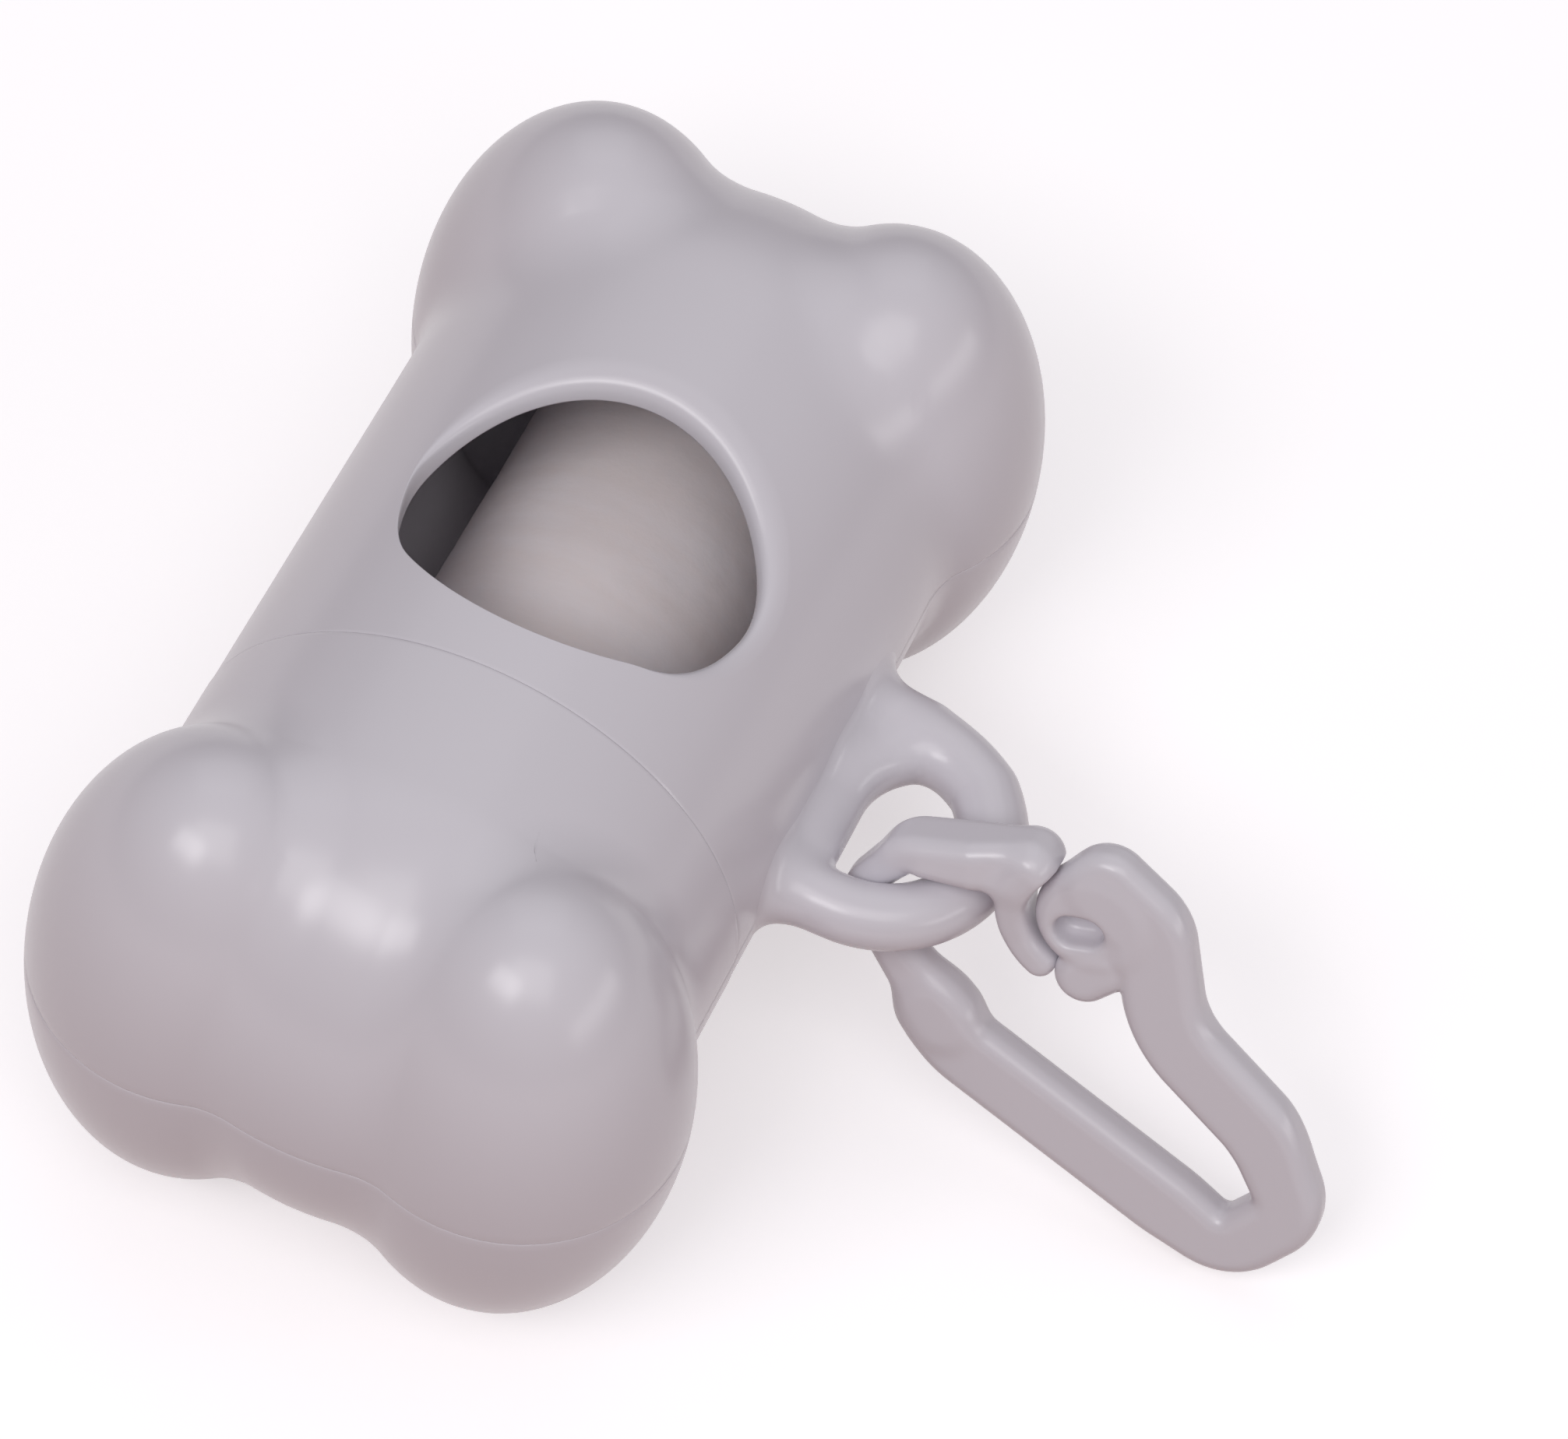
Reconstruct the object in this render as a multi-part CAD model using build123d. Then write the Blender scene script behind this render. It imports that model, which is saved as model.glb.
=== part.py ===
from build123d import *
import math
import os

# Bone-shaped dog poop bag dispenser, millimetres, +Z up.
# It lies on its back: the bag window faces +Z, the bone's long axis is along Y, the removable cap is
# the -Y end, and the side ring with its snap clip is at +X. The origin is on the floor, under the
# middle of the whole object.

# ---- driving dimensions: bone ----
AXIS_Z = 21.5            # height of the bone's axis, which is also the lobes' half height
BONE_X = -20.27          # the bone's axis, left of the origin because the clip hangs out at +X
SHAFT_R = 21.0           # outside radius of the body's shaft
SKIRT_R = 21.25          # outside radius of the cap's skirt, which stands proud of the body
WALL = 2.0               # wall of the shells
SHAFT_HALF = 25.0        # from the bone's middle to where its ends start to round over
END_DOME = 18.5          # length of the rounded end beyond that
LOBE_X = 11.8            # each lobe's axis from the bone's axis
LOBE_Y = 31.5            # each lobe's axis from the bone's middle
LOBE_R = 12.5            # lobe radius, seen from above
BLEND_R = 5.0            # soft fillet where lobes and shaft meet
CREASE_HEIGHT = 0.01     # creases lie above the joint plane, its own edges don't
SEAM_Y = -14.4           # where the cap's skirt meets the body

# ---- half shells: the welded lap joint in the plane of the ring ----
LAP_HEIGHT = 1.0         # height of the back half's tongue
LAP_INSET = 1.0          # the tongue fills the wall inside this depth
LAP_GAP = 0.05           # clearance of tongue and of every glued insert

# ---- bag window ----
WINDOW_HALF_WIDTH = 13.1
WINDOW_CENTRE_Y = -0.6   # centre of the domed upper edge
WINDOW_CORNER_Y = -3.2   # where the short straight sides end
WINDOW_LOW_Y = -10.0     # lowest point of the flatter edge, next to the cap
WINDOW_CORNER_R = 3.0
WINDOW_ROUNDING = 1.0    # soft outer rim

# ---- neck, held between the body's halves, and the cap's threaded collar ----
NECK_IN_Y = -11.9        # inner end of the neck
NECK_OUT_Y = -22.4       # free end of the spigot
NECK_BORE_R = 16.6
SPIGOT_R = 18.2          # over the thread's crests
BEAD_R = 20.0            # bead that locks the neck in the body's wall
BEAD_WIDTH = 0.8
BEAD_Y = -13.5
COLLAR_BORE_R = 18.29
COLLAR_TOP_Y = -14.8
COLLAR_END_Y = -23.2
COLLAR_BEAD_R = 20.5
COLLAR_BEAD_Y = -19.2
EDGE_CHAMFER = 0.5
OVAL_STEPS = 6           # points along a quarter oval

# ---- side ring ----
RING_X = 25.1            # centre of the ring's bend, from the bone's axis
RING_Y = 1.5
RING_R = 8.1             # radius of the rod's centre line
RING_ROD_R = 1.95
RING_ROOT_X = 18.6       # where the rod's two ends sink into the shell
RING_WEB_X = 21.2        # rod along the shell that closes the ring's hole

# ---- bag roll ----
ROLL_R = 12.4
ROLL_LENGTH = 58.0
ROLL_LAP = 0.4           # thickness of the folded film's free end
TURN_STEPS = 16          # points round the outer turn
CORE_R = 6.5
CORE_WALL = 1.0
ROLL_CLEARANCE = 0.3     # between roll and neck, where it lies

# ---- snap clip, in its own plane: s along it from the ring to the tip, t towards the gate ----
CLIP_RING_ANGLE = -30.0  # where round the ring the clip hangs
CLIP_LEAN = 15.0         # the clip's plane leans back from upright
CLIP_DROOP = 27.5        # the clip's long axis slopes down to the floor
CLIP_SHIFT = 0.2         # the eye's place along the ring, off the clip's mid-plane
BAR_WIDTH = 3.8          # back leg and gate
EYE_WIDTH = 2.9          # the slimmer bar round the ring
BAR_THICKNESS = 3.3
BAR_ROUND = 1.25
HINGE = (34.3, -0.4)     # where the outer bend flexes
HINGE_R = 2.2
HINGE_GAP = 0.08
LEG_CORNER = (35.0, -5.1)
LEG_BEND = (8.6, -8.3)
LEG_END = (5.5, -7.1)
EYE_START = (6.0, -7.3)
EYE_CORNERS = ((1.0, -5.5), (-5.1, -5.2), (-5.1, 1.7))
EYE_END = (2.5, 8.5)
TIP_BEND_R = 2.6
LEG_BEND_R = 6.0
EYE_BEND_R = 2.2
GATE_CORNERS = ((33.6, 2.6), (28.5, 5.3), (18.3, 5.1), (12.6, 10.6))
GATE_BEND_R = 6.0
CURL = (8.2, 8.5)        # centre of the gate's curled end
CURL_R = 4.1
CURL_POCKET = (7.6, 7.4)  # the hollow inside the curl
CURL_POCKET_R = 1.4
CURL_POCKET_DEPTH = 2.2
KNOB = (10.9, 4.7)
KNOB_R = 1.8
CATCH_GAP = 0.3
CATCH_OUTER_R = 6.3
CATCH_FROM = 168.0       # the catch's arc round the curl, in degrees
CATCH_TO = 276.0
CLIP_EDGE_R = 0.8


def place(shape):
    """Move a shape modelled about the bone's own middle to the shared frame."""
    return Pos(BONE_X, 0, AXIS_Z) * shape


def quarter_oval(plane, across, along):
    """A quarter of an oval in the plane, from its x axis round to its y axis."""
    points = []
    for step in range(OVAL_STEPS + 1):
        angle = math.pi / 2 * step / OVAL_STEPS
        points.append(plane.from_local_coords((across * math.cos(angle), along * math.sin(angle), 0)))
    return Edge.make_spline(points, tangents=(plane.y_dir, -plane.x_dir))


def turned_oval(plane, across, along, foot, axis, arc):
    """The oval's quarter turned about an axis, with its straight side running on down to the foot."""
    oval = quarter_oval(plane, across, along)
    low = plane.from_local_coords((0, -foot, 0))
    corner = plane.from_local_coords((across, -foot, 0))
    outline = [Edge.make_line(low, corner), oval, Edge.make_line(oval @ 1, low)]
    if foot > 0:
        outline.insert(1, Edge.make_line(corner, oval @ 0))
    return revolve(Face(Wire(outline)), axis, arc)


def half_end(shaft_r, inset, y_from):
    """The half above the joint plane of the bone's +Y end, from y_from on, moved in by the inset."""
    towards_end = Plane((0, SHAFT_HALF, 0), x_dir=(-1, 0, 0), z_dir=(0, 0, -1))
    foot = SHAFT_HALF - y_from
    solid = turned_oval(towards_end, shaft_r - inset, END_DOME - inset, foot, Axis.Y, 180)
    for side in (-1, 1):
        centre = (side * LOBE_X, LOBE_Y, 0)
        upright = Plane(centre, x_dir=(-side, 0, 0), z_dir=(0, side, 0))
        solid += turned_oval(upright, LOBE_R - inset, AXIS_Z - inset, 0, Axis(centre, (0, 0, 1)), 360)
    creases = [edge for edge in solid.edges() if edge.geom_type == GeomType.BSPLINE]
    creases = [edge for edge in creases if edge.position_at(0.5).Z > CREASE_HEIGHT]
    return solid.fillet(BLEND_R + inset / 2, creases)


def slab(y_low, y_high, z_low, z_high):
    """A box wide enough to cut the bone with."""
    reach = 4 * SHAFT_R
    middle = ((y_low + y_high) / 2, (z_low + z_high) / 2)
    return Pos(0, *middle) * Box(reach, y_high - y_low, z_high - z_low)


def tube_along_y(outer_r, inner_r, y_low, y_high):
    """A plain tube about the bone's axis."""
    tube = Cylinder(outer_r, y_high - y_low)
    if inner_r > 0:
        tube -= Cylinder(inner_r, y_high - y_low)
    return Pos(0, (y_low + y_high) / 2, 0) * Rot(90, 0, 0) * tube


def half_shells(shaft_r, y_from):
    """Front and back half of the bone's hollow +Y end, with their lap joint."""
    beyond = SHAFT_HALF + 2 * END_DOME
    hollow = half_end(shaft_r, WALL, y_from - WALL)
    half = half_end(shaft_r, 0, y_from) - hollow
    tongue = (half_end(shaft_r, LAP_INSET, y_from) & slab(y_from, beyond, 0, LAP_HEIGHT)) - hollow
    rebate_band = slab(y_from, beyond, 0, LAP_HEIGHT + LAP_GAP)
    rebate = half_end(shaft_r, LAP_INSET - LAP_GAP, y_from) & rebate_band
    return half - rebate, half.mirror(Plane.XY) + tongue


def window_outline():
    """Domed towards the bone's end, flatter towards the cap, with round corners."""
    half = WINDOW_HALF_WIDTH
    with BuildSketch() as sketch:
        with BuildLine():
            side = Line((-half, WINDOW_CORNER_Y), (-half, WINDOW_CENTRE_Y))
            dome = ThreePointArc(side @ 1, (0, WINDOW_CENTRE_Y + half), (half, WINDOW_CENTRE_Y))
            Line(dome @ 1, (half, WINDOW_CORNER_Y))
            ThreePointArc((half, WINDOW_CORNER_Y), (0, WINDOW_LOW_Y), side @ 0)
        make_face()
        fillet(sketch.vertices().group_by(Axis.Y)[0], WINDOW_CORNER_R)
    return sketch.sketch


def is_window_rim(point):
    """True for the middle of a window edge on the shell's outside."""
    in_plan = abs(point.X) < WINDOW_HALF_WIDTH + WALL / 2 and point.Y < WINDOW_HALF_WIDTH
    clear_of_seam = point.Y > (WINDOW_LOW_Y + SEAM_Y) / 2
    on_outside = abs(math.hypot(point.X, point.Z) - SHAFT_R) < WALL / 4
    return in_plan and clear_of_seam and on_outside and point.Z > 0


def side_ring():
    """A round rod bent to a D that lies in the joint plane of the two halves."""
    top_y = RING_Y + RING_R
    low_y = RING_Y - RING_R
    with BuildLine() as path:
        Line((RING_ROOT_X, low_y), (RING_X, low_y))
        CenterArc((RING_X, RING_Y), RING_R, -90, 180)
        Line((RING_X, top_y), (RING_ROOT_X, top_y))
    start = Plane((RING_ROOT_X, low_y, 0), x_dir=(0, 1, 0), z_dir=(1, 0, 0))
    rod = sweep(start * Circle(RING_ROD_R), path=path.wire())
    web = Pos(RING_WEB_X, RING_Y, 0) * Rot(90, 0, 0) * Cylinder(RING_ROD_R, 2 * RING_R)
    return rod + web


def neck():
    """One-piece neck: a locked-in root with a bead, and the spigot that carries the cap's thread."""
    root = tube_along_y(SHAFT_R - WALL - LAP_GAP, NECK_BORE_R, SEAM_Y, NECK_IN_Y)
    bead = tube_along_y(BEAD_R - LAP_GAP, NECK_BORE_R, BEAD_Y - BEAD_WIDTH / 2, BEAD_Y + BEAD_WIDTH / 2)
    spigot = tube_along_y(SPIGOT_R, NECK_BORE_R, NECK_OUT_Y, SEAM_Y)
    piece = root + bead + spigot
    free_end = piece.edges().filter_by(GeomType.CIRCLE).filter_by_position(Axis.Y, NECK_OUT_Y, NECK_OUT_Y)
    return chamfer(free_end, EDGE_CHAMFER)


def cap_collar():
    """One-piece collar in the cap's skirt, whose bore takes the neck's spigot."""
    seat_r = SKIRT_R - WALL - LAP_GAP
    sleeve = tube_along_y(seat_r, COLLAR_BORE_R, COLLAR_END_Y, COLLAR_TOP_Y)
    low = COLLAR_BEAD_Y - BEAD_WIDTH / 2
    bead = tube_along_y(COLLAR_BEAD_R - LAP_GAP, COLLAR_BORE_R, low, low + BEAD_WIDTH)
    return sleeve + bead


def groove(radius, y_middle):
    """The groove that a bead sits in, with its clearance."""
    half = BEAD_WIDTH / 2 + LAP_GAP
    return tube_along_y(radius, NECK_BORE_R, y_middle - half, y_middle + half)


def rolled_film():
    """The wound film: a round roll whose outer turn ends in one folded edge."""
    inner_r = ROLL_R - ROLL_LAP
    points = []
    for step in range(TURN_STEPS + 1):
        angle = 2 * math.pi * step / TURN_STEPS
        radius = inner_r + ROLL_LAP * step / TURN_STEPS
        points.append((radius * math.cos(angle), radius * math.sin(angle)))
    with BuildSketch(Plane.XZ) as section:
        with BuildLine():
            Spline(*points)
            Line(points[-1], points[0])
        make_face()
        Circle(CORE_R, mode=Mode.SUBTRACT)
    film = extrude(section.sketch, ROLL_LENGTH / 2, both=True)
    return Pos(0, 0, roll_drop()) * film


def roll_drop():
    """The roll lies on the neck's bore, below the bone's axis."""
    return ROLL_R + ROLL_CLEARANCE - NECK_BORE_R


def card_core():
    """The card tube inside the film."""
    half = ROLL_LENGTH / 2
    return Pos(0, 0, roll_drop()) * tube_along_y(CORE_R, CORE_R - CORE_WALL, -half, half)


def clip_plane():
    """The clip's plane: its origin is on the ring's centre line, x runs to the tip, z is its face."""
    turn = math.radians(CLIP_RING_ANGLE)
    lean = math.radians(CLIP_LEAN)
    droop = math.radians(CLIP_DROOP)
    origin = (RING_X + RING_R * math.cos(turn), RING_Y + RING_R * math.sin(turn), 0)
    face = (0, -math.cos(lean), math.sin(lean))
    along = (math.cos(droop), -math.sin(droop) * math.sin(lean), -math.sin(droop) * math.cos(lean))
    return Plane(origin, x_dir=along, z_dir=face).offset(-CLIP_SHIFT)


def rounded_bar(line, width, rounding):
    """The clip's section, as thick as the clip, swept along a line in its plane."""
    start = Plane(line @ 0, x_dir=(0, 0, 1), z_dir=line % 0)
    return sweep(start * RectangleRounded(BAR_THICKNESS, width, rounding), path=line)


def bar_along(points, radii, width):
    """A bar along straight runs and tangent bends."""
    with BuildLine() as path:
        FilletPolyline(*points, radius=radii)
    return rounded_bar(path.wire(), width, BAR_ROUND)


def disc(centre, radius):
    """A round boss through the clip's thickness, its rims softened."""
    boss = Pos(*centre, 0) * Cylinder(radius, BAR_THICKNESS)
    return fillet(boss.edges().filter_by(GeomType.CIRCLE), CLIP_EDGE_R)


def catch_arc():
    """The catch: an arc round the gate's curled end."""
    inner_r = CURL_R + CATCH_GAP
    with BuildLine() as path:
        CenterArc(CURL, (inner_r + CATCH_OUTER_R) / 2, CATCH_FROM, CATCH_TO - CATCH_FROM)
    return rounded_bar(path.wire(), CATCH_OUTER_R - inner_r, CLIP_EDGE_R)


def clip_frame():
    """Back leg, eye round the ring, upper bar and catch, from the outer bend round to the catch."""
    leg = bar_along((HINGE, LEG_CORNER, LEG_BEND, LEG_END), (TIP_BEND_R, LEG_BEND_R), BAR_WIDTH)
    eye_line = (EYE_START, *EYE_CORNERS, EYE_END)
    eye = bar_along(eye_line, (LEG_BEND_R, EYE_BEND_R, EYE_BEND_R), EYE_WIDTH)
    return leg + eye + catch_arc() + disc(HINGE, HINGE_R)


def clip_gate():
    """The springy leg with its curled, knobbed end, hollowed round the outer bend it flexes about."""
    radii = (EYE_BEND_R, GATE_BEND_R, GATE_BEND_R, TIP_BEND_R)
    curl_top = (CURL[0], GATE_CORNERS[-1][1])
    leg = bar_along((HINGE, *GATE_CORNERS, curl_top), radii, BAR_WIDTH)
    leg += disc(CURL, CURL_R) + disc(KNOB, KNOB_R)
    pocket_z = BAR_THICKNESS / 2 - CURL_POCKET_DEPTH / 2
    leg -= Pos(*CURL_POCKET, pocket_z) * Cylinder(CURL_POCKET_R, CURL_POCKET_DEPTH)
    return leg - Pos(*HINGE, 0) * Cylinder(HINGE_R + HINGE_GAP, 2 * BAR_THICKNESS)


def build_parts():
    """Every separate piece, by name."""
    body_front, body_back = half_shells(SHAFT_R, SEAM_Y)
    cap_front, cap_back = [half.mirror(Plane.XZ) for half in half_shells(SKIRT_R, -SEAM_Y)]

    body_front -= Pos(0, 0, SHAFT_R / 2) * extrude(window_outline(), SHAFT_R)
    rim = [edge for edge in body_front.edges() if is_window_rim(edge.position_at(0.5))]
    body_front = body_front.fillet(WINDOW_ROUNDING, rim)

    ring = side_ring()
    body_front -= ring
    ring -= tube_along_y(SHAFT_R - WALL / 2, 0, SEAM_Y, SHAFT_HALF)
    body_back = (body_back - groove(BEAD_R, BEAD_Y)) + ring
    body_front -= groove(BEAD_R, BEAD_Y)
    cap_front -= groove(COLLAR_BEAD_R, COLLAR_BEAD_Y)
    cap_back -= groove(COLLAR_BEAD_R, COLLAR_BEAD_Y)

    hang = clip_plane().location
    return {
        "body_front_shell": body_front,
        "body_back_shell": body_back,
        "neck_ring": neck(),
        "cap_front_shell": cap_front,
        "cap_back_shell": cap_back,
        "cap_collar": cap_collar(),
        "bag_roll": rolled_film(),
        "roll_core": card_core(),
        "clip_frame": hang * clip_frame(),
        "clip_gate": hang * clip_gate(),
    }


def main():
    os.makedirs("parts", exist_ok=True)
    for name, shape in build_parts().items():
        placed = place(shape)
        placed.label = name
        export_step(placed, "parts/" + name + ".step")
        box = placed.bounding_box()
        print(name, len(placed.solids()), round(placed.volume, 1), box.min, box.max)


main()
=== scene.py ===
"""Bone-shaped dispenser for pet waste bags: its looks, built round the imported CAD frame."""
import math

import bmesh
import bpy
import numpy as np
from bpy.props import FloatProperty, FloatVectorProperty, PointerProperty
from mathutils import Matrix, Vector


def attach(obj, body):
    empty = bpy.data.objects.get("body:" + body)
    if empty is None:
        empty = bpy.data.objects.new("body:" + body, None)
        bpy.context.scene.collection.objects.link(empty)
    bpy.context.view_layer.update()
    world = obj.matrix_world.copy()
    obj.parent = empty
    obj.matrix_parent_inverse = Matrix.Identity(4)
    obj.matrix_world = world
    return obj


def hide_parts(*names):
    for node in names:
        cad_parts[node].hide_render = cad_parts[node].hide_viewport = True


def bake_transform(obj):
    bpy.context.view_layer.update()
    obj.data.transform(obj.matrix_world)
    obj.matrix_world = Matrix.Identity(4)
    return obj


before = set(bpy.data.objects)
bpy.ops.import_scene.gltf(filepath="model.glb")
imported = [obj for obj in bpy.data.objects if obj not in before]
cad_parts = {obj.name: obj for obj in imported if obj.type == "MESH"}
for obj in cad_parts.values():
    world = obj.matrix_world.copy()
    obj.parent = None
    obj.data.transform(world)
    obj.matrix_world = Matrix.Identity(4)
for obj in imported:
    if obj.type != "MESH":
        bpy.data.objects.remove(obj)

bl_info = {
    "name": "Bag Dispenser Builder",
    "version": (1, 0, 0),
    "blender": (4, 5, 0),
    "location": "3D View > Sidebar > Dispenser",
    "description": "Builds the shells, ring, neck, roll and snap clip of a bone-shaped bag dispenser",
    "category": "Object",
}

MM = 0.001
BONE_X = -20.27          # the bone's axis in the shared frame, millimetres
AXIS_Z = 21.5            # height of the bone's axis, and half its thickness at the lobes
SHAFT_HALF = 25.0        # half length of the straight shaft
END_DOME = 18.5          # how far the shaft's domes reach beyond it
LOBE_X = 11.8
LOBE_Y = 31.5
SEAM_Y = -14.4           # where the cap meets the body
SEAM_COLUMNS = 64
SEAM_BACK = 0.3          # the sheets' rows stop this far from the seam, where the rim's rows begin
OUTLINE_COLUMNS = 256
OUTLINE_SAMPLES = 3001
SHEET_ROWS = 34
FIRST_ROW = 0.004        # share of the way out at which a sheet's support row lies
SAME_PLACE = 1e-7        # points this near are one, metres
SHARP_FROM = math.radians(50)
CORE_SHARE = 0.4         # size of the sheets' square-meshed middle
HALVINGS = 44


# ---- sizes and colours ----

def length(label, default):
    """A length property, given in metres."""
    return FloatProperty(name=label, default=default, unit="LENGTH", precision=5)


def colour(label, default):
    """A linear colour property."""
    return FloatVectorProperty(name=label, default=default, size=3, min=0, max=1, subtype="COLOR")


class DispenserSizes(bpy.types.PropertyGroup):
    """Sizes that a user would change."""

    shaft_radius: length("Outside radius of the body's shaft", 0.021)
    skirt_radius: length("Outside radius of the cap", 0.02106)
    wall: length("Thickness of the shells", 0.002)
    lobe_radius: length("Radius of the four lobes, seen from above", 0.0125)
    blend_radius: length("Fillet between shaft and lobes", 0.005)
    line_depth: length("Depth of the fine line between halves", 0.00003)
    window_half: length("Half the bag window's width", 0.0131)
    window_flare: length("Widest part of the window's bevel", 0.0025)
    ring_rod: length("Radius of the side ring's rod", 0.0024)
    ring_blend: length("Blend of the ring's roots into the shell", 0.0026)
    thread_depth: length("Height of the thread", 0.0005)
    thread_pitch: length("Distance between the thread's turns", 0.0034)
    roll_radius: length("Outside radius of the bag roll", 0.0124)
    film_lap: length("Thickness of the roll's free edge", 0.0004)
    clip_thickness: length("Thickness of the clip's bars", 0.0033)
    clip_width: length("Width of the clip's two legs", 0.00588)
    net_step: length("Spacing of the mesh on ring and clip", 0.00024)


class DispenserColours(bpy.types.PropertyGroup):
    """Colours that a user would change."""

    shell: colour("Pale lilac grey plastic of the shells", (0.53, 0.485, 0.555))
    shell_warm: colour("Faint warm patches in the shells", (0.52, 0.46, 0.50))
    clip: colour("Slightly greyer plastic of the clip", (0.43, 0.39, 0.43))
    clip_warm: colour("Faint warm patches in the clip", (0.43, 0.375, 0.40))
    film: colour("Pale warm grey of the wound film", (0.94, 0.87, 0.88))
    film_shade: colour("Film where more layers lie together", (0.86, 0.78, 0.76))
    card: colour("Grey-brown card of the core", (0.30, 0.22, 0.15))
    card_fibre: colour("Darker fibres of the card", (0.20, 0.14, 0.09))
    floor: colour("Pale floor", (0.80, 0.79, 0.80))
    floor_bounce: colour("Warm tint that the floor throws back", (0.32, 0.14, 0.12))


def mm(name):
    """A size setting in millimetres."""
    return getattr(bpy.context.scene.dispenser_sizes, name) / MM


def tint(name):
    """A colour setting with full alpha."""
    return (*getattr(bpy.context.scene.dispenser_colours, name), 1)


# ---- the bone's surface ----

def oval_field(points, centre, semi):
    """Distance to an oval body, to first order, and its outward direction."""
    away = points - np.array(centre)
    semi = np.array(semi)
    reach = np.linalg.norm(away / semi, axis=-1) + 1e-9
    steep = away / semi ** 2
    slope = np.linalg.norm(steep, axis=-1) + 1e-9
    return reach * (reach - 1) / slope, steep / slope[..., None]


def filleted(a, a_way, b, b_way, radius):
    """Union of two bodies with a rolled fillet of that radius in their crease."""
    cosine = np.clip(np.sum(a_way * b_way, axis=-1), -0.999, 0.999)
    p, q = radius - a, radius - b
    spread = 1 - cosine ** 2
    x, y = (p - q * cosine) / spread, (q - p * cosine) / spread
    ball = radius - np.sqrt(np.maximum(x * x + y * y + 2 * x * y * cosine, 0))
    return np.where((x > 0) & (y > 0), ball, np.minimum(a, b))


def bone_field(points, shaft_r):
    """Distance outside the bone, in millimetres about its own middle."""
    lobe_r, blend = mm("lobe_radius"), mm("blend_radius")
    folded = np.abs(points)
    straight = folded.copy()
    straight[..., 1] = np.maximum(folded[..., 1] - SHAFT_HALF, 0)
    shaft, shaft_way = oval_field(straight, (0, 0, 0), (shaft_r, END_DOME, shaft_r))
    lobe, lobe_way = oval_field(folded, (LOBE_X, LOBE_Y, 0), (lobe_r, lobe_r, AXIS_Z))
    return filleted(shaft, shaft_way, lobe, lobe_way, blend)


def field_way(field, points, reach=0.01):
    """Unit direction in which a field grows."""
    grown = np.zeros_like(points)
    for axis in range(3):
        step = np.zeros(3)
        step[axis] = reach
        grown[..., axis] = field(points + step) - field(points - step)
    return grown / (np.linalg.norm(grown, axis=-1, keepdims=True) + 1e-12)


def smooth(share):
    """Eases a share between 0 and 1."""
    share = np.clip(share, 0, 1)
    return share ** 2 * (3 - 2 * share)


def find_edge(inside_at, shape, far):
    """How far a test stays true, between 0 and far, by halving, for many places at once."""
    low, high = np.zeros(shape), np.full(shape, float(far))
    for _ in range(HALVINGS):
        middle = (low + high) / 2
        inside = inside_at(middle)
        low, high = np.where(inside, middle, low), np.where(inside, high, middle)
    return (low + high) / 2


def bone_heights(plan, shaft_r, level):
    """Height of the bone's surface, offset by level, over points in plan."""
    def inside_at(z):
        return bone_field(np.concatenate([plan, z[..., None]], axis=-1), shaft_r) < level

    return find_edge(inside_at, plan.shape[:-1], AXIS_Z + 1)


def bone_reach(centre, ways, shaft_r, level):
    """How far the bone's outline lies from the centre, each way in plan."""
    def inside_at(r):
        places = centre + ways * r[..., None]
        return bone_field(np.concatenate([places, 0 * r[..., None]], axis=-1), shaft_r) < level

    return find_edge(inside_at, ways.shape[:-1], 60)


# ---- half shells ----

WINDOW_MIDDLE = np.array((0.0, -3.0))
WINDOW_DOME_Y, WINDOW_CORNER_Y, WINDOW_LOW_Y = -0.6, -3.2, -10.0
WINDOW_SHIFT = 0.45                        # how far the window lies towards the ring
WINDOW_ROUNDINGS = 4.4, 3.0                # its corners on the ring's side and on the other
FLARE_LEAST = 0.3
FLARE_FROM, FLARE_GROWTH = 55, 40          # degrees from the cap's side, growing to the ring's
FLARE_TO, FLARE_FADE = 262, 60
BEVEL_STEPS = (0.03, 0.1, 0.2, 0.32, 0.45, 0.6, 0.76, 0.9, 0.97)


def window_reach(ways, grown):
    """Distance from the window's middle to its outline, grown outwards; the ring's side is rounder."""
    half = mm("window_half")
    drop = WINDOW_CORNER_Y - WINDOW_LOW_Y
    rise = (drop ** 2 + half ** 2) / (2 * drop)

    def inside_at(r):
        places = WINDOW_MIDDLE + ways * r[..., None]
        x, y = places[..., 0] - WINDOW_SHIFT, places[..., 1]
        rounding = np.where(x > 0, *WINDOW_ROUNDINGS)
        top = np.hypot(x, np.maximum(y - WINDOW_DOME_Y, 0)) - half
        low = np.hypot(x, y - (WINDOW_LOW_Y + rise)) - rise
        a, b = top + rounding, low + rounding
        both = np.hypot(np.maximum(a, 0), np.maximum(b, 0)) - rounding
        return np.where((a > 0) & (b > 0), both, np.maximum(top, low)) < grown

    return find_edge(inside_at, ways.shape[:-1], 30)


def flare_width(angles):
    """Width of the window's bevel: wide round the dome and at the ring's side, narrow elsewhere."""
    turn = np.mod(angles + math.radians(90), 2 * math.pi)
    rising = smooth((turn - math.radians(FLARE_FROM)) / math.radians(FLARE_GROWTH))
    falling = smooth((math.radians(FLARE_TO) - turn) / math.radians(FLARE_FADE))
    return FLARE_LEAST + (mm("window_flare") - FLARE_LEAST) * rising * falling


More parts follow.
